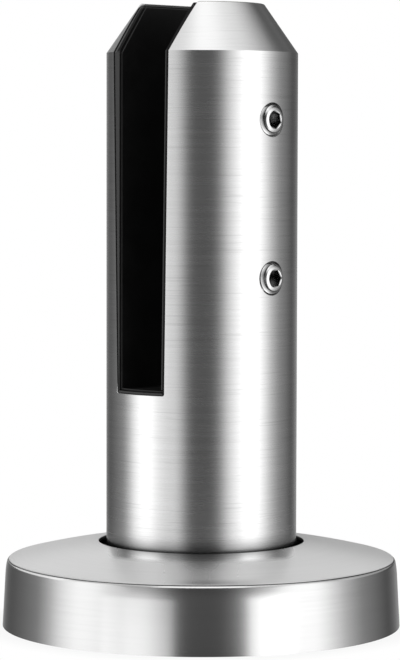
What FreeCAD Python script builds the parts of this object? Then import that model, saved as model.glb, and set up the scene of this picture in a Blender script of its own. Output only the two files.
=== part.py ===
import FreeCAD, Part
import math
import os
from FreeCAD import Vector

# Post with a cone-cut head
post_radius = 25.0
shoulder_height = 149.8
overall_height = 162.6
head_radius = 16.1
head_edge_round = 0.7

# Flange that is bolted to the deck
flange_radius = 50.0
flange_height = 8.0
flange_edge_chamfer = 0.8
flange_root_round = 2.0
anchor_count = 4
anchor_hole_radius = 5.5
anchor_circle_radius = 38.5

# Glass slot, open at the top and at both sides, with walls that lean apart
slot_floor_height = 61.9
clamp_wall_offset = 9.02
clamp_wall_lean = 0.67
back_wall_offset = 7.18
back_wall_lean = 1.49
slot_corner_round = 0.5
slot_edge_round = 0.12

# Rubber lining of the back wall and floor: a wedge layer and a thin raised face
liner_setback = 0.35
liner_wedge_face = 6.75
liner_raised_face = 0.45
liner_floor_layer = 0.65
liner_floor_raise = 0.6
liner_step = 0.7

# Clamp pad on the screw side: a thin rim and a thicker middle that holds the plate
pad_rim_thickness = 0.85
pad_thickness = 2.9
pad_half_width = 19.0
pad_end_margin = 5.0
pad_seat_gap = 0.1
pad_floor_gap = 0.3

# Pressure plate in the back of the pad
plate_thickness = 2.0
plate_half_width = 15.0
plate_end_margin = 10.0
plate_corner_round = 4.0
plate_pocket_gap = 0.05

# Grub screws, right-hand M8 with a hexagon socket and a cup point
screw_radius = 4.0
screw_length = 16.0
screw_end_chamfer = 0.5
thread_clearance = 0.05
socket_across_flats = 4.0
socket_depth = 5.0
cup_radius = 2.5
cup_depth = 1.2
screw_tip_gap = 0.05
upper_screw_height = 132.35
upper_screw_backoff = 0.1
upper_socket_turn = -12.0
lower_screw_height = 91.8
lower_screw_backoff = 0.8
lower_socket_turn = 5.0
hole_mouth_chamfer = 0.3

# Domed sheet cover round the flange
cover_clearance = 0.65
cover_sheet = 1.2
cover_wall_draft = 3.15
cover_rim_height = 17.45
cover_dome_radius = 197.0
cover_rim_round = 1.4
cover_hole_gap = 2.0

z_axis = Vector(0, 0, 1)


def clamp_wall(height):
    """Distance from the axis to the screw-side slot wall."""
    return clamp_wall_offset + (height - slot_floor_height) * math.tan(math.radians(clamp_wall_lean))


def back_wall(height):
    """Distance from the axis to the far slot wall."""
    return back_wall_offset + (height - slot_floor_height) * math.tan(math.radians(back_wall_lean))


def revolve(points):
    """Solid of revolution about the upright axis from radius and height points."""
    outline = Part.makePolygon([Vector(radius, 0, height) for radius, height in points + points[:1]])
    return Part.Face(outline).revolve(Vector(0, 0, 0), z_axis, 360)


def across_slot(points, half_length):
    """Prism along the slot from offset and height points."""
    outline = Part.makePolygon([Vector(offset, -half_length, height) for offset, height in points + points[:1]])
    return Part.Face(outline).extrude(Vector(0, 2 * half_length, 0))


def head_outline(setback):
    """Post outline, moved inwards by the setback, as radius and height points."""
    slope_run = post_radius - head_radius
    slope_rise = overall_height - shoulder_height
    slope_length = math.hypot(slope_run, slope_rise)
    side = post_radius - setback
    top = overall_height - setback
    shift = setback * slope_length / slope_run
    shoulder = shoulder_height - shift + setback * slope_rise / slope_run
    top_radius = side - (top - shoulder) * slope_run / slope_rise
    return [(0, 0), (side, 0), (side, shoulder), (top_radius, top), (0, top)]


def head_solid(setback):
    """Post, moved inwards by the setback, with a rounded edge round its top."""
    solid = revolve(head_outline(setback))
    rim = [
        edge for edge in solid.Edges
        if edge.BoundBox.ZLength < 1e-6 and abs(edge.BoundBox.ZMin - overall_height + setback) < 1e-6
    ]
    return solid.makeFillet(head_edge_round, rim)


def slot_space():
    """Space of the glass slot, with rounded floor corners."""
    top = overall_height + post_radius
    reach = 2 * post_radius
    space = across_slot([
        (-back_wall(slot_floor_height), slot_floor_height),
        (clamp_wall(slot_floor_height), slot_floor_height),
        (clamp_wall(top), top),
        (-back_wall(top), top),
    ], reach)
    corners = [
        edge for edge in space.Edges
        if edge.BoundBox.ZLength < 1e-6 and edge.BoundBox.YLength > reach
        and abs(edge.BoundBox.ZMin - slot_floor_height) < 1e-6
    ]
    return space.makeFillet(slot_corner_round, corners)


def slot_rim_edges(solid):
    """Edges where the slot walls and floor meet the outside of the post."""
    chosen = []
    for edge in solid.Edges:
        middle = edge.valueAt((edge.FirstParameter + edge.LastParameter) / 2)
        radius = math.hypot(middle.x, middle.y)
        on_wall = min(abs(middle.x - clamp_wall(middle.z)), abs(middle.x + back_wall(middle.z))) < 1e-4
        on_floor = abs(middle.z - slot_floor_height) < 1e-4
        in_corner = middle.z < slot_floor_height + slot_corner_round
        on_post = abs(radius - post_radius) < 1e-4
        above_shoulder = middle.z > shoulder_height + 1e-4
        if middle.z < slot_floor_height - 1e-4:
            continue
        if on_post and (on_wall or on_floor or in_corner):
            chosen.append(edge)
        elif above_shoulder and on_wall:
            chosen.append(edge)
    return chosen


def screw_hole(height):
    """Tapped hole through the screw-side wall, with a chamfered mouth."""
    radius = screw_radius + thread_clearance
    along = Vector(1, 0, 0)
    bore = Part.makeCylinder(radius, 2 * post_radius, Vector(0, 0, height), along)
    mouth_depth = post_radius - math.sqrt(post_radius ** 2 - radius ** 2) + hole_mouth_chamfer
    mouth = Part.makeCone(
        radius, radius + 2 * mouth_depth, 2 * mouth_depth, Vector(post_radius - mouth_depth, 0, height), along)
    limit = Part.makeCylinder(radius + hole_mouth_chamfer, post_radius, Vector(0, 0, height), along)
    return bore.fuse(mouth.common(limit))


def spigot_body():
    post = head_solid(0)
    flange = Part.makeCylinder(flange_radius, flange_height)
    body = post.fuse(flange).removeSplitter()
    root = [
        edge for edge in body.Edges
        if abs(edge.BoundBox.ZMin - flange_height) < 1e-6 and abs(edge.BoundBox.ZMax - flange_height) < 1e-6
        and abs(edge.BoundBox.XLength - 2 * post_radius) < 1e-3
    ]
    body = body.makeFillet(flange_root_round, root)
    rim = [
        edge for edge in body.Edges
        if abs(edge.BoundBox.XLength - 2 * flange_radius) < 1e-3 and edge.BoundBox.ZMin > flange_height - 1e-6
    ]
    body = body.makeChamfer(flange_edge_chamfer, rim)
    body = body.cut(slot_space())
    body = body.makeFillet(slot_edge_round, slot_rim_edges(body))
    for height in (upper_screw_height, lower_screw_height):
        hole = screw_hole(height)
        inside = Part.makeBox(
            post_radius, 2 * post_radius, overall_height, Vector(-post_radius, -post_radius, 0))
        body = body.cut(hole.cut(inside))
    for index in range(anchor_count):
        angle = 2 * math.pi * (index + 0.5) / anchor_count
        place = Vector(anchor_circle_radius * math.cos(angle), anchor_circle_radius * math.sin(angle), 0)
        body = body.cut(Part.makeCylinder(anchor_hole_radius, flange_height, place))
    return body


def base_cover():
    draft = math.radians(cover_wall_draft)

    def wall_radius(height, outer):
        inner = flange_radius + cover_clearance + (flange_height - height) * math.tan(draft)
        return inner + outer * cover_sheet / math.cos(draft)

    rim_radius = wall_radius(cover_rim_height, 1)
    dome_centre = cover_rim_height - math.sqrt(cover_dome_radius ** 2 - rim_radius ** 2)

    def dome_height(radius, sphere):
        return dome_centre + math.sqrt(sphere ** 2 - radius ** 2)

    def dome_arc(start, end, sphere):
        middle = (start + end) / 2
        points = [Vector(radius, 0, dome_height(radius, sphere)) for radius in (start, middle, end)]
        return Part.Arc(*points).toShape()

    inner_sphere = cover_dome_radius - cover_sheet
    inner_rim_height = cover_rim_height
    for _ in range(8):
        inner_rim_height = dome_height(wall_radius(inner_rim_height, 0), inner_sphere)
    inner_rim = wall_radius(inner_rim_height, 0)
    hole_radius = post_radius + cover_hole_gap
    outer_foot = Vector(wall_radius(0, 1), 0, 0)
    inner_foot = Vector(wall_radius(0, 0), 0, 0)
    top_arc = dome_arc(rim_radius, hole_radius, cover_dome_radius)
    under_arc = dome_arc(hole_radius, inner_rim, inner_sphere)
    outline = Part.Wire([
        Part.makeLine(outer_foot, top_arc.Vertexes[0].Point),
        top_arc,
        Part.makeLine(top_arc.Vertexes[1].Point, under_arc.Vertexes[0].Point),
        under_arc,
        Part.makeLine(under_arc.Vertexes[1].Point, inner_foot),
        Part.makeLine(inner_foot, outer_foot),
    ])
    cover = Part.Face(outline).revolve(Vector(0, 0, 0), z_axis, 360)
    rim = [
        edge for edge in cover.Edges
        if abs(edge.BoundBox.XLength - 2 * rim_radius) < 1e-3 and edge.BoundBox.ZLength < 1e-6
    ]
    return cover.makeFillet(cover_rim_round, rim)


def slot_liner():
    floor_top = slot_floor_height + liner_floor_layer
    face_top = floor_top + liner_floor_raise
    reach = 2 * post_radius
    top = overall_height + post_radius
    face = liner_wedge_face - liner_raised_face
    layer = slot_space().common(head_solid(liner_setback))
    layer = layer.cut(across_slot([
        (-liner_wedge_face, floor_top), (reach, floor_top), (reach, top), (-liner_wedge_face, top)], reach))
    far_side = clamp_wall(slot_floor_height) - pad_rim_thickness
    raised = across_slot([
        (-liner_wedge_face, floor_top),
        (far_side, floor_top),
        (far_side, face_top),
        (-face, face_top),
        (-face, top),
        (-liner_wedge_face, top),
    ], reach)
    raised = raised.common(head_solid(liner_setback + liner_step))
    return layer.fuse(raised).removeSplitter()


def along_clamp_wall(near, far, low, high, half_length):
    """Slab between two distances from the screw-side wall, leaning with it."""
    return across_slot([
        (clamp_wall(low) - near, low),
        (clamp_wall(low) - far, low),
        (clamp_wall(high) - far, high),
        (clamp_wall(high) - near, high),
    ], half_length)


def rounded_plate(gap):
    """Plate with round corners, grown sideways by the gap."""
    low = lower_screw_height - plate_end_margin - gap
    high = upper_screw_height + plate_end_margin + gap
    plate = along_clamp_wall(pad_seat_gap, pad_seat_gap + plate_thickness, low, high, plate_half_width + gap)
    corners = [
        edge for edge in plate.Edges
        if edge.BoundBox.YLength < 1e-6 and abs(edge.Length - plate_thickness) < 1e-3
    ]
    return plate.makeFillet(plate_corner_round + gap, corners)


def pressure_plate():
    return rounded_plate(0)


def clamp_pad():
    floor_top = slot_floor_height + liner_floor_layer + liner_floor_raise + pad_floor_gap
    top = overall_height + post_radius
    reach = 2 * post_radius
    rim = along_clamp_wall(pad_seat_gap, pad_seat_gap + pad_rim_thickness, floor_top, top, reach)
    rim = rim.common(head_solid(liner_setback))
    low = floor_top + pad_end_margin
    high = shoulder_height - pad_end_margin
    middle = along_clamp_wall(pad_seat_gap, pad_seat_gap + pad_thickness, low, high, pad_half_width)
    return rim.fuse(middle).removeSplitter().cut(rounded_plate(plate_pocket_gap))


def grub_screw(height, backoff, turn):
    tip = clamp_wall(height) - pad_seat_gap + screw_tip_gap + backoff
    head = tip + screw_length
    screw = Part.makeCylinder(screw_radius, screw_length, Vector(tip, 0, height), Vector(1, 0, 0))
    ends = [edge for edge in screw.Edges if edge.BoundBox.XLength < 1e-6]
    screw = screw.makeChamfer(screw_end_chamfer, ends)
    corner = socket_across_flats / math.sqrt(3)
    angles = [math.radians(turn + 60 * index) for index in range(7)]
    hexagon = Part.makePolygon([
        Vector(head, corner * math.sin(angle), height + corner * math.cos(angle)) for angle in angles])
    socket = Part.Face(hexagon).extrude(Vector(-socket_depth, 0, 0))
    cup = Part.makeCone(cup_radius, 0, cup_depth, Vector(tip, 0, height), Vector(1, 0, 0))
    return screw.cut(socket).cut(cup)


def write_parts():
    pieces = {
        "spigot_body": spigot_body(),
        "base_cover": base_cover(),
        "slot_liner": slot_liner(),
        "clamp_pad": clamp_pad(),
        "pressure_plate": pressure_plate(),
        "upper_grub_screw": grub_screw(upper_screw_height, upper_screw_backoff, upper_socket_turn),
        "lower_grub_screw": grub_screw(lower_screw_height, lower_screw_backoff, lower_socket_turn),
    }
    os.makedirs("parts", exist_ok=True)
    for name, shape in pieces.items():
        shape.exportStep("parts/" + name + ".step")
        print(name, "solids", len(shape.Solids), "valid", shape.isValid(), "volume", round(shape.Volume, 1))


write_parts()
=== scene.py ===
import math
import bmesh
import bpy
from mathutils import Matrix, Vector


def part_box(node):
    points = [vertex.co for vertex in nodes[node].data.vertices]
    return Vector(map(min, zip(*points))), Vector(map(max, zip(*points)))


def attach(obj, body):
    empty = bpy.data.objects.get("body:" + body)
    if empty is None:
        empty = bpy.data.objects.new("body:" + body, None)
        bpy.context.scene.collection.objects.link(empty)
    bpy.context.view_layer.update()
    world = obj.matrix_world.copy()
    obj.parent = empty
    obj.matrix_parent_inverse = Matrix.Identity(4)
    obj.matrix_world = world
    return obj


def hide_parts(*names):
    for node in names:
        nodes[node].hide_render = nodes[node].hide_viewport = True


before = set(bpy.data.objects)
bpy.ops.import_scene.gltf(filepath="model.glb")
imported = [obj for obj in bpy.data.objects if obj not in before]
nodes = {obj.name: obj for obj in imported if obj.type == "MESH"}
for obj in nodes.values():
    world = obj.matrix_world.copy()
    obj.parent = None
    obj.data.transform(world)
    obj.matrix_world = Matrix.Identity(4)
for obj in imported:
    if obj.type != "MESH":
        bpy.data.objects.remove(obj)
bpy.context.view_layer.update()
scene = bpy.context.scene
scene.view_settings.view_transform = "Standard"
print("frame loaded:", ", ".join(sorted(nodes)))


class Wire:  # one socket of a node tree; sums on it add Math nodes
    def __init__(self, tree, socket=None):
        self.tree = tree
        self.socket = socket

    def node(self, kind, settings=None, sockets=None, out=0):
        made = self.tree.nodes.new(kind)
        for name, value in (settings or {}).items():
            if name == "stops":
                setStops(made.color_ramp, value)
            else:
                setattr(made, name, value)
        for name, value in (sockets or {}).items():
            if isinstance(value, Wire):
                self.tree.links.new(value.socket, made.inputs[name])
            else:
                made.inputs[name].default_value = value
        return Wire(self.tree, made.outputs[out] if len(made.outputs) else None)

    def outs(self):
        return [Wire(self.tree, socket) for socket in self.socket.node.outputs]

    def math(self, operation, *values):
        return self.node("ShaderNodeMath", {"operation": operation}, dict(enumerate(values)))

    def apply(self, operation):
        return self.math(operation, self)

    def smooth(self, low, high, start=0.0, end=1.0):
        sockets = {0: self, 1: low, 2: high, 3: start, 4: end}
        return self.node("ShaderNodeMapRange", {"interpolation_type": "SMOOTHSTEP"}, sockets)

    def __add__(self, other):
        return self.math("ADD", self, other)

    def __radd__(self, other):
        return self.math("ADD", other, self)

    def __sub__(self, other):
        return self.math("SUBTRACT", self, other)

    def __rsub__(self, other):
        return self.math("SUBTRACT", other, self)

    def __mul__(self, other):
        return self.math("MULTIPLY", self, other)

    def __rmul__(self, other):
        return self.math("MULTIPLY", other, self)

    def __truediv__(self, other):
        return self.math("DIVIDE", self, other)

    def __rtruediv__(self, other):
        return self.math("DIVIDE", other, self)


def setStops(ramp, stops):
    while len(ramp.elements) < len(stops):
        ramp.elements.new(1.0)
    for element, (position, level) in zip(ramp.elements, stops):
        element.position = position
        element.color = (level, level, level, 1.0)


def grey(level):
    return (level, level, level, 1.0)


def mixColour(factor, first, second):
    sockets = {0: factor, 6: first, 7: second}
    return factor.node("ShaderNodeMix", {"data_type": "RGBA"}, sockets, out=2)


def noise(vector, scale, detail=3.0, roughness=0.6):
    sockets = {"Vector": vector, "Scale": scale, "Detail": detail, "Roughness": roughness}
    return vector.node("ShaderNodeTexNoise", None, sockets)


def startMaterial(name):
    material = bpy.data.materials.new(name)
    material.use_nodes = True
    material.node_tree.nodes.clear()
    return material, Wire(material.node_tree)


def endMaterial(start, look, height, sockets):  # sockets of the shader, with bump from height
    sockets = {**sockets, "Specular IOR Level": look["specular"]}
    relief = {"Strength": look["bump"], "Distance": look["bumpDepth"], "Height": height}
    sockets["Normal"] = start.node("ShaderNodeBump", None, relief)
    shader = start.node("ShaderNodeBsdfPrincipled", None, sockets)
    start.node("ShaderNodeOutputMaterial", None, {"Surface": shader})


# Camera at the photograph's angle

cameraView = {
    "azimuth": 43.86, "distance": 0.75457, "height": 0.12262, "lens": 157.06,
    "tiltDown": 3.422, "turnLeft": 0.034, "roll": 0.12, "sensor": 36.0, "nearest": 0.01,
}


def placeCamera(view):
    data = bpy.data.cameras.new("photoCamera")
    data.sensor_width = view["sensor"]
    data.lens = view["lens"]
    data.clip_start = view["nearest"]
    azimuth = math.radians(view["azimuth"])
    spot = (view["distance"] * math.sin(azimuth), -view["distance"] * math.cos(azimuth), view["height"])
    camera = bpy.data.objects.new("photoCamera", data)
    camera.matrix_world = (
        Matrix.Translation(spot)
        @ Matrix.Rotation(azimuth + math.radians(view["turnLeft"]), 4, "Z")
        @ Matrix.Rotation(math.radians(90.0 - view["tiltDown"]), 4, "X")
        @ Matrix.Rotation(math.radians(view["roll"]), 4, "Z")
    )
    scene.collection.objects.link(camera)
    scene.camera = camera


placeCamera(cameraView)
print("camera placed")


# Studio: soft panels around the object, told by angle from the camera to the right

studio = {
    "walls": [  # angle from the camera, light
        (-180, 0.6), (-168, 0.42), (-160, 0.21), (-153, 0.15), (-147, 0.12), (-141, 0.125),
        (-126, 0.2), (-108, 0.33), (-98, 0.72), (-88, 1.42), (-76, 1.9), (-64, 1.82),
        (-54, 1.32), (-42, 1.1), (-32, 1.08), (-24, 0.64), (-17, 0.22), (-10, 0.105),
        (12, 0.105), (20, 0.24), (27, 0.64), (34, 1.14), (44, 1.6), (56, 2.0),
        (70, 2.0), (80, 1.44), (92, 0.77), (106, 0.37), (128, 0.18), (138, 0.1),
        (149, 0.19), (164, 0.38),
    ],
    "brightest": 2.0,
    "wallEnd": (4, 25), "frontEnd": (40, 60),  # height where the walls dim, in front and at the sides
    "wallFade": (1.3, 7.5), "wallTop": 0.55,  # where they stop dimming, and the share that is left
    "ceiling": (1.95, 1.25), "ceilingFront": (20, 64), "ceilingTurn": 10,  # in front and at the sides
    "ceilingFade": (22, 80), "behindTurn": (110, 160), "behindRaise": 40,  # it starts higher behind
    "rearTurn": (134, 150), "rearLow": (-3, 4), "rearHigh": (16, 28), "rearShare": 0.65,  # shade behind
}


def lightStudio(setup):
    world = bpy.data.worlds.new("studio")
    world.use_nodes = True
    world.node_tree.nodes.clear()
    scene.world = world
    start = Wire(world.node_tree)
    x, y, z = start.node(
        "ShaderNodeSeparateXYZ", None, {0: start.node("ShaderNodeTexCoord", out="Generated")}
    ).outs()
    azimuth = math.radians(cameraView["azimuth"])
    aside = x * math.cos(azimuth) + y * math.sin(azimuth)
    ahead = x * math.sin(azimuth) - y * math.cos(azimuth)
    turn = aside.math("ARCTAN2", aside, ahead) * (180 / math.pi)
    rise = z.apply("ARCSINE") * (180 / math.pi)
    stops = [((angle + 180) / 360, light / setup["brightest"]) for angle, light in setup["walls"]]
    walls = (turn + 180) / 360
    walls = walls.node("ShaderNodeValToRGB", {"stops": stops}, {0: walls}) * setup["brightest"]
    behind = turn.apply("ABSOLUTE")
    facing = (turn - setup["ceilingTurn"]).apply("ABSOLUTE")
    wallEnd = behind.smooth(*setup["frontEnd"], *setup["wallEnd"])
    fadeScale, fadeStart = setup["wallFade"]
    walls = walls * rise.smooth(wallEnd, wallEnd * fadeScale + fadeStart, 1.0, setup["wallTop"])
    rear = turn.smooth(*setup["rearTurn"]) * rise.smooth(*setup["rearLow"])
    rear = rear * rise.smooth(*setup["rearHigh"], 1.0, 0.0)
    walls = walls * (1 - rear * setup["rearShare"])
    raised = behind.smooth(*setup["behindTurn"]) * (1 - rise / 90) * setup["behindRaise"]
    over = (rise - raised).smooth(*setup["ceilingFade"])
    light = walls * (1 - over) + over * facing.smooth(*setup["ceilingFront"], *setup["ceiling"])
    seen = start.node("ShaderNodeLightPath", out="Is Camera Ray")
    through = start.node("ShaderNodeLightPath", out="Is Transmission Ray")
    seen = seen.math("MAXIMUM", seen, through)
    shown = light * (1 - seen) + seen
    sky = start.node("ShaderNodeBackground", None, {"Color": grey(1.0), "Strength": shown})
    start.node("ShaderNodeOutputWorld", None, {"Surface": sky})


lightStudio(studio)
print("studio lit")


# Floor: a small pale round that fades into the white backdrop

floorRound = {
    "radius": 0.064, "sides": 96, "drop": 0.00005, "tone": 0.86,
    "fade": (0.0535, 0.06272), "shadowShare": 0.16,
}


def makeFloor(sizes):
    mesh = bpy.data.meshes.new("floor")
    builder = bmesh.new()
    bmesh.ops.create_circle(builder, cap_ends=True, segments=sizes["sides"], radius=sizes["radius"])
    bmesh.ops.translate(builder, verts=builder.verts, vec=(0, 0, -sizes["drop"]))
    builder.to_mesh(mesh)
    builder.free()
    floor = bpy.data.objects.new("floor", mesh)
    scene.collection.objects.link(floor)
    material, start = startMaterial("paleFloor")
    spot = start.node("ShaderNodeTexCoord", out="Object")
    reach = spot.node("ShaderNodeVectorMath", {"operation": "LENGTH"}, {0: spot}, out="Value")
    fade = reach.smooth(*sizes["fade"])
    seen = start.node("ShaderNodeLightPath", out="Is Camera Ray")
    share = seen * (1 - (1 - fade) * sizes["shadowShare"])
    matt = start.node("ShaderNodeBsdfDiffuse", None, {"Color": grey(sizes["tone"])})
    white = start.node("ShaderNodeEmission", None, {"Color": grey(1.0), "Strength": 1.0})
    shader = start.node("ShaderNodeMixShader", None, {0: share, 1: matt, 2: white})
    start.node("ShaderNodeOutputMaterial", None, {"Surface": shader})
    mesh.materials.append(material)
    floor.visible_glossy = False  # the steel mirrors the studio down to the deck


makeFloor(floorRound)
print("floor laid")


# Brushed steel: lines run round the axis, finely stacked up the post and out across the cover

postSteel = {
    "tone": 0.62, "toneSpread": 0.024, "roughness": 0.27, "roughSpread": 0.028, "specular": 0.1,
    "anisotropy": 0.7, "lineTurn": 0.25, "bump": 0.026, "bumpDepth": 0.0002,
    "lineLength": 0.03, "linePitch": 0.0006, "streakLength": 0.06, "streakPitch": 0.002,
    "fineShare": 0.7, "grainSpan": (0.3, 0.7), "calmBand": (0.1493, 0.1503), "calmShare": 0.4,  # calmer cone
    "scratchLength": 0.015, "scratchPitch": 0.0004, "scratchSpan": (0.6, 0.7),
    "scratchTone": 0.75, "scratchShare": 0.35,
    "footShadeTone": 0.1, "footLow": (0.0175, 0.0195), "footHigh": (0.0202, 0.0266),
    "holeShadeTone": (0.3, 0.1), "holeInner": (0.0041, 0.0042), "holeOuter": (0.00442, 0.00452),
    "holeSide": (0.01, 0.012),
}
coverSteel = {
    "tone": 0.5, "toneSpread": 0.01, "roughness": 0.2, "roughSpread": 0.02, "specular": 0.1,
    "anisotropy": 0.2, "lineTurn": 0.25, "bump": 0.012, "bumpDepth": 0.0002,
    "lineLength": 0.03, "linePitch": 0.0006, "streakLength": 0.06, "streakPitch": 0.002,
    "fineShare": 0.7, "grainSpan": (0.3, 0.7), "calmBand": (0.0168, 0.0178), "calmShare": 0.5,
    "mattTone": 0.555, "mattSpread": 0.04, "mattRoughness": 0.3, "mattMetal": 0.12, "mattSmooth": 0.9,
    "shineTurn": -46.14, "shineSide": (0.0, 0.0125), "shineAhead": (0.02, 0.03),  # polished stripe in front
    "shineReach": (0.036, 0.043), "shineShare": (0.92, 0.72), "shineTone": 0.62, "shineRoughness": 0.1,
    "ringReach": (0.0322, 0.0366), "ringSide": (0.0186, 0.0254), "ringAhead": (0.008, 0.018),
    "ringReflectTone": 0.9, "ringReflectMiddle": 0.44, "ringRoughness": 0.09,  # painted reflection: a bright ring along the hole, darker in its middle
    "edgeShadeTone": 0.4, "edgeReach": (0.0464, 0.0494), "edgeAside": 0.0042, "edgeHalf": (0.003, 0.0135),
    "paintedShadeTone": 0.1,
}


def brushedSteel(name, look):
    material, start = startMaterial(name)
    x, y, z = start.node(
        "ShaderNodeSeparateXYZ", None, {0: start.node("ShaderNodeTexCoord", out="Object")}
    ).outs()
    radius = (x * x + y * y).apply("SQRT")
    climb = z - radius

    def lines(length, pitch, detail):
        along = start.node("ShaderNodeCombineXYZ", None, {0: x / length, 1: y / length, 2: climb / pitch})
        return noise(along, 1.0, detail)

    fine = lines(look["lineLength"], look["linePitch"], 3.0)
    streaks = lines(look["streakLength"], look["streakPitch"], 2.0)
    calm = z.smooth(*look["calmBand"], 1.0, look["calmShare"])
    grain = (fine * look["fineShare"] + streaks * (1 - look["fineShare"]) - 0.5) * calm + 0.5
    brightness = grain.smooth(*look["grainSpan"])
    height = grain
    dull, bright = (grey(look["tone"] + side * look["toneSpread"]) for side in (-1, 1))
    tone = mixColour(brightness, dull, bright)
    rough = look["roughness"] + (grain - 0.5) * look["roughSpread"] * 2
    metal = 1.0
    if "footShadeTone" in look:  # deeper scratches, and painted shade where the post goes into the cover
        scratches = lines(look["scratchLength"], look["scratchPitch"], 1.0)
        scratches = scratches.smooth(*look["scratchSpan"], 0.0, look["scratchShare"]) * calm
        tone = mixColour(scratches, tone, grey(look["tone"] * look["scratchTone"]))
        # painted shade: a dark band round the post just over the cover
        foot = z.smooth(*look["footHigh"], 1.0, 0.0) * z.smooth(*look["footLow"])
        tone = mixColour(foot, tone, grey(look["footShadeTone"] * look["tone"]))
        below, over = (grey(level) for level in look["holeShadeTone"])
        for nodeName in ("upper_grub_screw", "lower_grub_screw"):  # painted shade: a dark edge round each screw hole, darker over it than under it
            low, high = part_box(nodeName)
            up = z - (low.z + high.z) / 2
            reach = (y * y + up * up).apply("SQRT")
            edge = reach.smooth(*look["holeInner"]) * reach.smooth(*look["holeOuter"], 1.0, 0.0)
            edge = edge * x.smooth(*look["holeSide"])
            half = look["holeInner"][1]
            tone = mixColour(edge, tone, mixColour(up.smooth(-half, half), below, over))
    if "mattTone" in look:  # matt top, polished in front of the hole
        top = start.node("ShaderNodeAttribute", {"attribute_name": "matt"}, None, out="Fac")
        turn = math.radians(look["shineTurn"])
        aside = y * math.cos(turn) - x * math.sin(turn)
        ahead = x * math.cos(turn) + y * math.sin(turn)
        across = aside.apply("ABSOLUTE")
        ring = radius.smooth(*look["ringReach"], 1.0, 0.0) * ahead.smooth(*look["ringAhead"])
        ring = ring * across.smooth(*look["ringSide"], 1.0, 0.0)
        front = ahead.smooth(*look["shineAhead"])
        stripe = across.smooth(*look["shineSide"], 1.0, 0.0)
        stripe = stripe * radius.smooth(*look["shineReach"], *look["shineShare"])
        matt = top * (1 - ring) * (1 - stripe * front)
        height = grain * (1 - top * look["mattSmooth"])
        rough = rough + top * (look["shineRoughness"] - look["roughness"])
        rough = rough + matt * (look["mattRoughness"] - look["shineRoughness"])
        rough = rough + top * ring * (look["ringRoughness"] - look["shineRoughness"])
        metal = 1 - matt * (1 - look["mattMetal"])
        # painted reflection of the post on the ring: bright at the sides, darker in the middle
        mirroredTone = mixColour(stripe, grey(look["ringReflectTone"]), grey(look["ringReflectMiddle"]))
        tone = mixColour(top, tone, mixColour(ring, grey(look["shineTone"]), mirroredTone))
        dull, bright = (grey(look["mattTone"] * (1 + side * look["mattSpread"])) for side in (-1, 1))
        tone = mixColour(matt, tone, mixColour(brightness, dull, bright))
        # painted shade: a darker band on the top just inside the rim, in front
        beside = (aside - look["edgeAside"]).apply("ABSOLUTE")
        edge = top * radius.smooth(*look["edgeReach"]) * beside.smooth(*look["edgeHalf"], 1.0, 0.0) * front
        tone = mixColour(edge, tone, grey(look["edgeShadeTone"]))
        # painted shade in the rim's crease and inside the sheet: bore, underside and inner wall
        stain = start.node("ShaderNodeAttribute", {"attribute_name": "stain"}, None, out="Fac")
        tone = mixColour(stain, tone, grey(look["paintedShadeTone"]))
    endMaterial(start, look, height, {
        "Base Color": tone, "Metallic": metal, "Roughness": rough,
        "Anisotropic": look["anisotropy"], "Anisotropic Rotation": look["lineTurn"],
    })
    return material


screwSteel = {
    "tone": 0.66, "toneSpread": 0.05, "recessShadeTone": 0.16, "roughness": 0.2, "roughSpread": 0.06,
    "specular": 0.5, "bump": 0.08, "bumpDepth": 0.0001,
    "grainScale": 2600.0, "grainShare": 0.6, "patchSize": 9.0,
}


def turnedSteel(name, look):
    material, start = startMaterial(name)
    spot = start.node("ShaderNodeTexCoord", out="Object")
    grain = noise(spot, look["grainScale"])
    patches = noise(spot, look["grainScale"] / look["patchSize"], 2.0, 0.5)
    mixed = grain * look["grainShare"] + patches * (1 - look["grainShare"])
    tone = mixColour(mixed, grey(look["tone"] - look["toneSpread"]), grey(look["tone"] + look["toneSpread"]))
    recess = start.node("ShaderNodeAttribute", {"attribute_name": "recess"}, None, out="Fac")
    # painted shade in the hex socket and the thread's roots
    tone = mixColour(recess, tone, grey(look["recessShadeTone"]))
    rough = look["roughness"] + (mixed - 0.5) * look["roughSpread"] * 2
    endMaterial(start, look, grain, {"Base Color": tone, "Metallic": 1.0, "Roughness": rough})
    return material


# Black rubber, with painted highlights in grey along its steps near the outside of the post, and painted
# shade left black next to the steel

liningRubber = {
    "dark": 0.008, "light": 0.012, "bloomSpan": (0.35, 0.7), "roughness": 0.38, "roughSpread": 0.08,
    "specular": 0.07, "bump": 0.1, "bumpDepth": 0.0001, "grainScale": 1500.0, "bloomSize": 20.0,
    "postRadius": 0.025, "shoulder": 0.1498, "shoulderHalf": 0.0005, "top": 0.1626, "topRadius": 0.0161,
    "slotFloor": 0.0619, "backWall": 0.00718, "backLean": 1.49, "clampWall": 0.00902, "clampLean": 0.67,
    "edgeHighlight": 0.06, "coneHighlight": 0.102, "stepHighlight": 0.5,  # tones of the painted highlights along the edges, and the inner step's share
    "rimDepth": (0.00045, 0.00057), "rimFloor": (0.0001, 0.0003),
    "stepDepth": 0.00105, "stepFloor": (0.0009, 0.0011), "lineHalf": 0.00014, "lineCore": 0.4,
    "shadeBack": (0.00012, 0.00022), "shadeClamp": (0.00065, 0.00075),  # painted shade: black next to the steel
    "coneShade": 0.00018, "coneRim": (0.0011, 0.0012),
    "topLine": 0.00064, "topHalf": 0.00024, "topStep": 0.00122, "topClamp": (0.006, 0.007),
}


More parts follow.
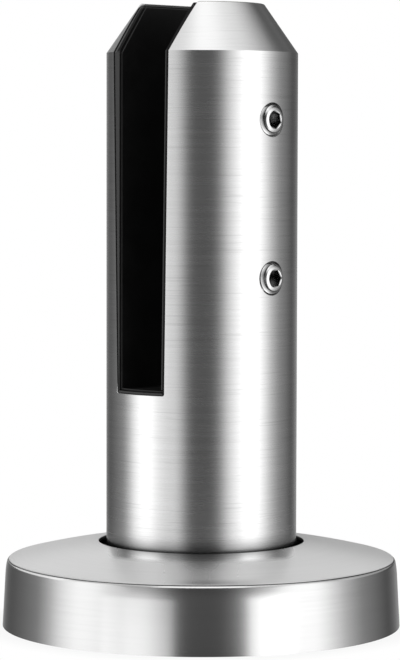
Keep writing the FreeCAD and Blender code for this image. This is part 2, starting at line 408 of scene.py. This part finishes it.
def mouldedRubber(name, look):
    material, start = startMaterial(name)
    spot = start.node("ShaderNodeTexCoord", out="Object")
    x, y, z = start.node("ShaderNodeSeparateXYZ", None, {0: spot}).outs()
    grain = noise(spot, look["grainScale"])
    bloom = noise(spot, look["grainScale"] / look["bloomSize"])
    run, rise = look["postRadius"] - look["topRadius"], look["top"] - look["shoulder"]
    side = look["postRadius"] - (x * x + y * y).apply("SQRT")
    slope = (side - (z - look["shoulder"]) * (run / rise)) * (rise / math.hypot(run, rise))
    depth = side.math("MINIMUM", side, slope)
    under = look["top"] - z
    above = z - look["slotFloor"]
    fromBack = x + look["backWall"] + above * math.tan(math.radians(look["backLean"]))
    fromClamp = look["clampWall"] + above * math.tan(math.radians(look["clampLean"])) - x
    onCone = z.smooth(look["shoulder"] - look["shoulderHalf"], look["shoulder"] + look["shoulderHalf"])

    def line(value, middle, half, share=1.0):
        off = (value - middle).apply("ABSOLUTE")
        return off.smooth(half * look["lineCore"], half, share, 0.0)

    rim = depth.smooth(*look["rimDepth"], 1.0, 0.0) * above.smooth(*look["rimFloor"])
    # painted shade: the rim stays black next to the steel
    rim = rim * (fromBack - onCone * look["coneShade"]).smooth(*look["shadeBack"])
    rim = rim * (1 - onCone * fromBack.smooth(*look["coneRim"])) * fromClamp.smooth(*look["shadeClamp"])
    topLine = line(under, look["topLine"], look["topHalf"]) * fromClamp.smooth(*look["topClamp"])
    rim = rim.math("MAXIMUM", rim, topLine)
    step = line(depth, look["stepDepth"], look["lineHalf"], look["stepHighlight"])
    step = step.math("MAXIMUM", step, line(under, look["topStep"], look["lineHalf"], look["stepHighlight"]))
    step = step * above.smooth(*look["stepFloor"])
    tone = mixColour(bloom.smooth(*look["bloomSpan"]), grey(look["dark"]), grey(look["light"]))
    edgeHighlight = mixColour(onCone, grey(look["edgeHighlight"]), grey(look["coneHighlight"]))
    # painted highlights along the rim, the top line and the steps
    tone = mixColour(rim.math("MAXIMUM", rim, step), tone, edgeHighlight)
    rough = look["roughness"] + (grain - 0.5) * look["roughSpread"] * 2
    endMaterial(start, look, grain, {"Base Color": tone, "Roughness": rough})
    return material


materials = {
    "post": brushedSteel("postSteel", postSteel),
    "cover": brushedSteel("coverSteel", coverSteel),
    "screw": turnedSteel("screwSteel", screwSteel),
    "rubber": mouldedRubber("liningRubber", liningRubber),
}


def dress(piece, material):
    piece.data.materials.clear()
    piece.data.materials.append(material)


def addPiece(name, mesh, nodeName, body):
    piece = bpy.data.objects.new(name, mesh)
    scene.collection.objects.link(piece)
    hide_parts(nodeName)
    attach(piece, body)
    print(name, "has", len(mesh.polygons), "faces")
    return piece


weldDistance = 1e-6
sliverSize = 1e-7


def mergedCopy(nodeName):
    builder = bmesh.new()
    builder.from_mesh(nodes[nodeName].data)
    bmesh.ops.remove_doubles(builder, verts=builder.verts, dist=weldDistance)
    builder.verts.index_update()
    return builder


dress(nodes["pressure_plate"], materials["screw"])


# Post: the merged solid, shaded as one true cylinder and cone

postShape = {
    "radius": 0.025, "shoulder": 0.1498, "top": 0.1626, "topRadius": 0.0161, "topRound": 0.001,
    "slotFloor": 0.0619, "backWall": 0.00718, "backLean": 1.49, "edgeRound": 0.0002,
    "sharpFrom": 30, "near": 2e-6,
}


def sharpenBack(builder, shape):  # the lining covers the back wall, so its edges stay sharp
    lean = math.tan(math.radians(shape["backLean"]))
    slope = (shape["radius"] - shape["topRadius"]) / (shape["top"] - shape["shoulder"])
    for vert in builder.verts:
        above = vert.co.z - shape["slotFloor"]
        if above < shape["topRound"] or vert.co.z > shape["top"] - shape["topRound"]:
            continue
        wall = -shape["backWall"] - above * lean
        reach = shape["radius"] - max(0.0, vert.co.z - shape["shoulder"]) * slope
        if abs(vert.co.x - wall) < shape["edgeRound"] and reach - vert.co.xy.length < shape["edgeRound"]:
            vert.co.x = wall
            vert.co.y = math.copysign(math.sqrt(reach * reach - wall * wall), vert.co.y)
    bmesh.ops.remove_doubles(builder, verts=builder.verts, dist=weldDistance)
    bmesh.ops.dissolve_degenerate(builder, edges=builder.edges, dist=weldDistance)
    builder.verts.index_update()


def turnPost(shape):
    builder = mergedCopy("spigot_body")
    sharpenBack(builder, shape)
    points = [vert.co[:] for vert in builder.verts]
    faces = [[vert.index for vert in face.verts] for face in builder.faces]
    builder.free()
    mesh = bpy.data.meshes.new("postTurned")
    mesh.from_pydata(points, [], faces)
    mesh.shade_smooth()
    mesh.set_sharp_from_angle(angle=math.radians(shape["sharpFrom"]))
    run, rise = shape["radius"] - shape["topRadius"], shape["top"] - shape["shoulder"]
    length = math.hypot(run, rise)
    sharp = math.cos(math.radians(shape["sharpFrom"]))

    def turned(spot):  # depth under the cylinder and the cone, with the outward direction of each
        reach = math.hypot(spot.x, spot.y) or 1.0
        out = Vector((spot.x, spot.y, 0.0)) / reach
        above = spot.z - shape["shoulder"]
        depth = shape["radius"] - reach
        cone = (out * rise + Vector((0.0, 0.0, run))) / length
        return [(depth, out), ((depth - above * run / rise) * rise / length, cone)]

    normals = [Vector(corner.vector) for corner in mesh.corner_normals]
    for face in mesh.polygons:
        spots = [mesh.vertices[index].co for index in face.vertices]
        for corner, spot in zip(face.loop_indices, spots):
            fits = [out for depth, out in turned(spot) if abs(depth) < shape["near"]]
            fits = [out for out in fits if out.dot(face.normal) > sharp]
            if fits:
                normals[corner] = max(fits, key=face.normal.dot)
    mesh.normals_split_custom_set([normal[:] for normal in normals])
    piece = addPiece("postTurned", mesh, "spigot_body", "spigot")
    dress(piece, materials["post"])
    return piece


postTurned = turnPost(postShape)


# Rubber lining and pad: the moulded edges are rounded, most where they lie against the steel

rubberEdges = {
    "round": 0.0003, "openShare": 0.6, "steps": 3, "sharpFrom": 20, "backFrom": 0.9, "flatWithin": 0.5,
}


def mouldRubber(nodeName, pieceName, body, edges, isBack):
    builder = mergedCopy(nodeName)
    flat = math.radians(edges["flatWithin"])
    bmesh.ops.dissolve_limit(builder, angle_limit=flat, verts=builder.verts, edges=builder.edges)
    weights = builder.edges.layers.float.new("bevel_weight_edge")
    for edge in builder.edges:
        if len(edge.link_faces) != 2 or edge.calc_face_angle_signed() < math.radians(edges["sharpFrom"]):
            continue
        backs = [isBack(face.normal) > edges["backFrom"] for face in edge.link_faces]
        edge[weights] = 1.0 if backs[0] != backs[1] else edges["openShare"]
    mesh = bpy.data.meshes.new(pieceName + "Rough")
    builder.to_mesh(mesh)
    builder.free()
    mesh.shade_smooth()
    rough = bpy.data.objects.new(pieceName + "Rough", mesh)
    scene.collection.objects.link(rough)
    bevel = rough.modifiers.new("edges", "BEVEL")
    bevel.width = edges["round"]
    bevel.segments = edges["steps"]
    bevel.limit_method = "WEIGHT"
    rough.modifiers.new("shading", "WEIGHTED_NORMAL")
    shape = rough.evaluated_get(bpy.context.evaluated_depsgraph_get())
    finished = bpy.data.meshes.new_from_object(shape)
    bpy.data.objects.remove(rough)
    finished.name = pieceName
    dress(addPiece(pieceName, finished, nodeName, body), materials["rubber"])


mouldRubber("slot_liner", "liningMoulded", "spigot", rubberEdges, lambda normal: max(-normal.x, -normal.z))
mouldRubber("clamp_pad", "padMoulded", "clamp", rubberEdges, lambda normal: normal.x)


# Lathe trees: rows of points swept round an axis, one strip for each stretch of the outline

def startTree(name, sizes):
    tree = bpy.data.node_groups.new(name, "GeometryNodeTree")
    for size in sizes:
        tree.interface.new_socket(size, in_out="INPUT", socket_type="NodeSocketFloat")
    tree.interface.new_socket("Material", in_out="INPUT", socket_type="NodeSocketMaterial")
    tree.interface.new_socket("Geometry", in_out="OUTPUT", socket_type="NodeSocketGeometry")
    start = Wire(tree)
    return start, {wire.socket.name: wire for wire in start.node("NodeGroupInput").outs()}


def lathe(start, segments, rows, shape, turn=0.0):
    index = start.node("GeometryNodeInputIndex")
    grid = start.node("GeometryNodeMeshGrid", None, {"Vertices X": segments + 1, "Vertices Y": rows})
    column = (index / rows).apply("FLOOR")
    share = column / segments
    row = index - column * rows
    radius, depth = shape(row, share)
    angle = share * (2 * math.pi) + turn
    place = start.node("ShaderNodeCombineXYZ", None, {
        0: radius * angle.apply("COSINE"), 1: radius * angle.apply("SINE"), 2: depth,
    })
    return start.node("GeometryNodeSetPosition", None, {"Geometry": grid, "Position": place}), row


def pick(row, levels):
    total = 0.0
    for number, level in enumerate(levels):
        total = level * row.math("COMPARE", row, float(number), 0.1) + total
    return total


def mark(strip, name, level):  # a level kept on the points, for the material
    sockets = {"Geometry": strip, "Name": name, "Value": level}
    return strip.node("GeometryNodeStoreNamedAttribute", None, sockets)


def endTree(start, strips, material, move=None):
    join = start.tree.nodes.new("GeometryNodeJoinGeometry")
    for strip in strips:
        start.tree.links.new(strip.socket, join.inputs[0])
    joined = Wire(start.tree, join.outputs[0])
    whole = start.node("GeometryNodeMergeByDistance", None, {"Geometry": joined, "Distance": weldDistance})
    if move:
        whole = start.node("GeometryNodeTransform", None, {"Geometry": whole, **move})
    real = start.node("GeometryNodeRealizeInstances", None, {"Geometry": whole})
    coated = start.node("GeometryNodeSetMaterial", None, {"Geometry": real, "Material": material})
    start.node("NodeGroupOutput", None, {0: coated})
    return start.tree


def bakeTree(tree, name, values, sharpFrom):
    blank = bpy.data.objects.new(name + "Blank", bpy.data.meshes.new(name + "Blank"))
    scene.collection.objects.link(blank)
    modifier = blank.modifiers.new("lathe", "NODES")
    modifier.node_group = tree
    for item in tree.interface.items_tree:
        if item.in_out == "INPUT":
            modifier[item.identifier] = values[item.name]
    shape = blank.evaluated_get(bpy.context.evaluated_depsgraph_get())
    finished = bpy.data.meshes.new_from_object(shape)
    bpy.data.objects.remove(blank)
    builder = bmesh.new()
    builder.from_mesh(finished)
    bmesh.ops.dissolve_degenerate(builder, edges=builder.edges, dist=sliverSize)
    bmesh.ops.recalc_face_normals(builder, faces=builder.faces)
    builder.to_mesh(finished)
    builder.free()
    finished.shade_smooth()
    finished.set_sharp_from_angle(angle=math.radians(sharpFrom))
    finished.name = name
    return finished


# Base cover: a drawn sheet with a drafted wall, a rounded rim, a shallow dome and a hole for the post

baseCover = {
    "Draft": 3.15, "Sheet": 0.0012, "Rim Height": 0.01745, "Dome Radius": 0.208, "Rim Round": 0.0014,
    "Hole Radius": 0.027, "Lip Round": 0.00015, "Rim Lean": 0.0002, "Lean Height": 0.003,
    "Crease Width": 0.0004, "Crease Depth": 0.00008, "Crease Angle": 45.0,
}
coverFinish = {"segments": 240, "sharpFrom": 30}
wallLevels = [0.0, 0.4, 0.75, 0.79, 0.83, 0.87, 0.91, 0.95, 0.99, 1.0]  # rows up the wall


def coverTree():
    start, given = startTree("baseCover", [*baseCover, "Foot Radius"])
    foot, dome, edge = given["Foot Radius"], given["Dome Radius"], given["Rim Round"]
    draft = given["Draft"] * (math.pi / 180)
    slope, upright = draft.apply("TANGENT"), draft.apply("COSINE")
    rim = foot - given["Rim Height"] * slope
    drop = dome * dome - rim * rim
    middle = given["Rim Height"] - drop.apply("SQRT")  # height of the dome's centre

    def overHeight(reach, sphere):
        square = sphere * sphere - reach * reach
        return middle + square.apply("SQRT")

    def meeting(base, sphere):  # where a wall that starts at base meets a sphere
        half = base * slope + middle
        scale = slope * slope + 1
        square = half * half - scale * (base * base + middle * middle - sphere * sphere)
        height = (half + square.apply("SQRT")) / scale
        return base - height * slope, height

    def spread(row, rows, first, last):
        return first + (last - first) * (row / (rows - 1))

    roundX = meeting(foot - edge / upright, dome - edge)[0] - given["Rim Lean"]
    roundZ = overHeight(roundX, dome - edge)
    steep = slope + given["Rim Lean"] / given["Lean Height"] * 2
    wallEnd = steep.apply("ARCTANGENT")  # the wall's tilt where the rim's round begins
    wallX = roundX + edge * wallEnd.apply("COSINE")
    wallTop = roundZ + edge * wallEnd.apply("SINE")
    domeStart = (roundZ - middle).math("ARCTAN2", roundZ - middle, roundX)
    creaseHalf = given["Crease Width"] / edge / 2
    creaseMiddle = given["Crease Angle"] * (math.pi / 180)
    lip = given["Hole Radius"] + given["Lip Round"]
    domeEnd = (lip / dome).apply("ARCCOSINE")
    lipTop = overHeight(lip, dome)
    inner = dome - given["Sheet"]
    innerFoot = foot - given["Sheet"] / upright
    innerX, innerZ = meeting(innerFoot, inner)
    underStart = (given["Hole Radius"] / inner).apply("ARCCOSINE")
    underEnd = (innerZ - middle).math("ARCTAN2", innerZ - middle, innerX)

    def wall(row, share):
        height = wallTop * pick(row, wallLevels)
        bend = (height - wallTop) / given["Lean Height"] + 1
        bend = bend.math("MAXIMUM", bend, 0.0)
        return foot - height * slope - (foot - wallTop * slope - wallX) * bend * bend, height

    def rimRound(rows, first, last):
        def shape(row, share):
            angle = spread(row, rows, first, last)
            return roundX + edge * angle.apply("COSINE"), roundZ + edge * angle.apply("SINE")
        return shape

    def crease(row, share):  # fine groove where the matt top ends
        angle = creaseMiddle + creaseHalf * pick(row, [-1.0, -0.5, 0.5, 1.0])
        reach = edge - given["Crease Depth"] * pick(row, [0.0, 1.0, 1.0, 0.0])
        return roundX + reach * angle.apply("COSINE"), roundZ + reach * angle.apply("SINE")

    def domed(sphere, rows, first, last):
        def shape(row, share):
            angle = spread(row, rows, first, last)
            return sphere * angle.apply("COSINE"), middle + sphere * angle.apply("SINE")
        return shape

    def lipRound(row, share):
        angle = row * (math.pi / 8)  # a quarter turn over its rows
        bend = given["Lip Round"]
        return lip - bend * angle.apply("SINE"), lipTop - bend + bend * angle.apply("COSINE")

    def bore(row, share):
        low, high = overHeight(given["Hole Radius"], inner), lipTop - given["Lip Round"]
        return given["Hole Radius"] + row * 0.0, spread(row, 2, high, low)

    def innerWall(row, share):
        return spread(row, 3, innerX, innerFoot), spread(row, 3, innerZ, innerZ * 0.0)

    def footRing(row, share):
        return spread(row, 2, innerFoot, foot), row * 0.0

    outline = [  # rows, shape, matt, painted shade
        (len(wallLevels), wall, 0, 0),
        (8, rimRound(8, wallEnd, creaseMiddle - creaseHalf), 0, 0),
        (4, crease, 0, [0, 1, 1, 0]),
        (6, rimRound(6, creaseMiddle + creaseHalf, domeStart), 1, 0),
        (40, domed(dome, 40, domeStart, domeEnd), 1, 0),
        (5, lipRound, 1, 0),
        (2, bore, 0, 1),
        (16, domed(inner, 16, underStart, underEnd), 0, 1),
        (3, innerWall, 0, 1),
        (2, footRing, 0, 0),
    ]
    strips = []
    for rows, shape, matt, shaded in outline:
        strip, row = lathe(start, coverFinish["segments"], rows, shape)
        if shaded:
            strip = mark(strip, "stain", pick(row, shaded) if isinstance(shaded, list) else 1.0)
        if matt:
            strip = mark(strip, "matt", 1.0)
        strips.append(strip)
    return endTree(start, strips, given["Material"])


coverSizes = {**baseCover, "Foot Radius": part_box("base_cover")[1].x, "Material": materials["cover"]}
coverMesh = bakeTree(coverTree(), "coverDrawn", coverSizes, coverFinish["sharpFrom"])
coverDrawn = addPiece("coverDrawn", coverMesh, "base_cover", "cover")


# Lamps that light one piece alone: backdrop, low strips and rim lights for the cover, one for the post's head

coverLamps = {
    "backdrop": {"turn": 180.0, "half": 22.0, "low": 16, "high": 50, "light": 0.6},
    "leftEdge": {"turn": -49.0, "half": 7.0, "low": -14, "high": -0.5, "light": 0.52},
    "leftStrip": {"turn": -28.5, "half": 13.5, "low": -14, "high": -0.5, "light": 0.8},
    "rightStrip": {"turn": 38.0, "half": 12.5, "low": -14, "high": 3, "light": 0.95},
    "leftRim": {"turn": -117.0, "half": 28.0, "low": 11, "high": 40, "light": 0.9},
    "rightRim": {"turn": 120.0, "half": 30.0, "low": 11, "high": 36, "light": 0.3},
    "frontRim": {"turn": 0.0, "half": 30.0, "low": 33, "high": 60, "light": 0.9},
}
postLamps = {"leftHead": {"turn": -152.0, "half": 20.0, "low": 27, "high": 48, "light": 0.14}}
lampDistance = 0.6
lampPower = 4.0  # for each square metre of a lamp, at a light of 1


def lightPiece(piece, lamps):
    lit = bpy.data.collections.new(piece.name + "Lit")
    lit.objects.link(piece)
    for name, lamp in lamps.items():
        data = bpy.data.lights.new(name, "AREA")
        data.shape = "RECTANGLE"
        low, high = (lampDistance * math.tan(math.radians(lamp[end])) for end in ("low", "high"))
        data.size = 2 * lampDistance * math.tan(math.radians(lamp["half"]))
        data.size_y = high - low
        data.energy = lampPower * lamp["light"] * data.size * data.size_y
        strip = bpy.data.objects.new(name, data)
        azimuth = math.radians(cameraView["azimuth"] + lamp["turn"])
        spot = (lampDistance * math.sin(azimuth), -lampDistance * math.cos(azimuth), (low + high) / 2)
        upright = Matrix.Rotation(math.pi / 2, 4, "X")
        strip.matrix_world = Matrix.Translation(spot) @ Matrix.Rotation(azimuth, 4, "Z") @ upright
        scene.collection.objects.link(strip)
        strip.visible_camera = False
        strip.light_linking.receiver_collection = lit


lightPiece(coverDrawn, coverLamps)
lightPiece(postTurned, postLamps)
print("lamps placed")


# Grub screws: a rolled thread, a hexagon socket in the outer end and a cup in the inner one

grubScrew = {
    "Radius": 0.00396, "Pitch": 0.00125, "Thread Depth": 0.0007, "End Bevel": 0.0008, "End Crown": 0.0002,
    "Across Flats": 0.004, "Socket Depth": 0.005, "Cup Radius": 0.0025, "Cup Depth": 0.0012,
}
screwTurns = {"upper": -12.0, "lower": 27.0}
screwFinish = {"segments": 72, "sharpFrom": 20}
threadRows = 4  # rows to a lap: crest, flank, root, flank
threadShares = {"crest": 0.125, "flank": 0.3125, "root": 0.25}  # of the pitch
threadLaps = {"before": 1.5, "spare": 3}  # laps past the ends, where the thread runs out


def screwTree():
    start, given = startTree("grubScrew", [*grubScrew, "Length", "Turn", "End X", "Height"])
    length = given["Length"]
    outer = given["Radius"] - given["End Bevel"]
    flat = given["Across Flats"] * 0.5
    crown = given["End Crown"]

    def threaded(row, share):
        lap = (row / threadRows).apply("FLOOR")
        step = row - lap * threadRows
        along = step.math("MINIMUM", step, 1.0) * threadShares["crest"]
        along = along + (step - 1).smooth(0, 1) * threadShares["flank"]
        along = along + (step - 2).smooth(0, 1) * threadShares["root"]
        depth = (lap + along + share - threadLaps["before"]) * given["Pitch"]
        depth = depth.math("MAXIMUM", depth.math("MINIMUM", depth, length), crown)
        thread = given["Radius"] - given["Thread Depth"] * step.math("GREATER_THAN", step, 1.5)
        fromEnd = depth.math("MINIMUM", depth - crown, length - depth)
        return thread.math("MINIMUM", thread, outer + fromEnd), depth

    def socketEnd(row, share):
        swing = (share * 6).apply("FRACT") - 0.5
        angle = swing * (math.pi / 3)
        hexagon = flat / angle.apply("COSINE")
        face = flat * 1.2  # the socket's countersink
        middle = (outer + face) * 0.5
        radius = pick(row, [outer, middle, face, hexagon, hexagon, flat * 0.5, flat * 0.0])
        deep = given["Socket Depth"]
        depth = pick(row, [crown, crown * 0.3, crown * 0.0, deep * 0.025, deep, deep * 1.06, deep * 1.12])
        return radius, depth

    def cupEnd(row, share):
        cup = given["Cup Radius"]
        return pick(row, [outer, cup, cup * 0.0]), pick(row, [length, length, length - given["Cup Depth"]])

    laps = (length / given["Pitch"]).apply("CEIL") + threadLaps["spare"]
    segments, turn = screwFinish["segments"], given["Turn"]
    socket, row = lathe(start, segments, 7, socketEnd, turn)
    # painted shade on the socket's walls and floor, and in the thread's roots
    socket = mark(socket, "recess", pick(row, [0.0, 0.0, 0.0, 1.0, 0.8, 0.0, 0.0]))
    thread, row = lathe(start, segments, laps * threadRows, threaded, turn)
    step = row - (row / threadRows).apply("FLOOR") * threadRows
    thread = mark(thread, "recess", step.math("GREATER_THAN", step, 1.5))
    cup = lathe(start, segments, 3, cupEnd, turn)[0]
    spot = start.node("ShaderNodeCombineXYZ", None, {0: given["End X"], 2: given["Height"]})
    lay = {"Translation": spot, "Rotation": (0.0, -math.pi / 2, 0.0)}
    return endTree(start, [thread, socket, cup], given["Material"], lay)


def makeScrew(tree, which, values):
    nodeName = which + "_grub_screw"
    low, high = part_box(nodeName)
    values = dict(values)
    values["Length"] = high.x - low.x
    values["Turn"] = math.radians(screwTurns[which])
    values["End X"] = high.x
    values["Height"] = (low.z + high.z) / 2
    values["Material"] = materials["screw"]
    name = which + "GrubScrew"
    mesh = bakeTree(tree, name, values, screwFinish["sharpFrom"])
    addPiece(name, mesh, nodeName, which + "_screw")


grubTree = screwTree()
for which in screwTurns:
    makeScrew(grubTree, which, grubScrew)
